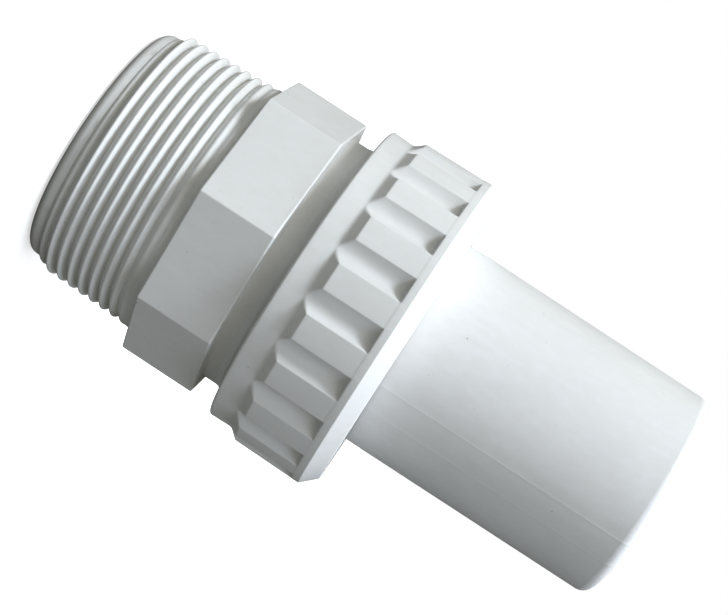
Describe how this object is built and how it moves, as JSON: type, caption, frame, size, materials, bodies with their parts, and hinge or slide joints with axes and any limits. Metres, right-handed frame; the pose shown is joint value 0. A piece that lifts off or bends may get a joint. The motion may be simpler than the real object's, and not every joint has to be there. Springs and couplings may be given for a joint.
{
  "type": "pipe union",
  "caption": "Plastic pipe union: male taper-threaded end with wrench octagon, ribbed union nut over a face seal, and a plain spigot for solvent welding.",
  "frame": {"origin": "centre of the threaded end's flat nose face, on the union's axis, where the part stands", "axes": "+Z along the waterway from the threaded end to the spigot; +X square to one flat of the wrench octagon"},
  "size_m": [0.0616, 0.0616, 0.1138],
  "materials": {
    "body_plastic": "satin moulded",
    "nut_plastic": "satin moulded",
    "spigot_plastic": "satin moulded",
    "seal_rubber": "matte"
  },
  "bodies": {
    "threaded_end_body": {"threaded_end": "body_plastic", "seal_ring": "seal_rubber"},
    "tailpiece_body": {"tailpiece": "spigot_plastic"},
    "union_nut_body": {"union_nut": "nut_plastic"}
  },
  "joints": [
    {"name": "tailpiece_lift", "type": "slide", "parent": "threaded_end_body", "child": "tailpiece_body", "axis": [0, 0, 1], "range_m": [0, 0.012]},
    {"name": "union_nut_turn", "type": "hinge", "parent": "tailpiece_body", "child": "union_nut_body", "pos_m": [0, 0, 0.0533], "axis": [0, 0, 1], "range_deg": [0, 1080]}
  ],
  "couplings": [
    {"joint": "union_nut_turn", "follows": "tailpiece_lift", "rad_per_m": 1570.8}
  ]
}
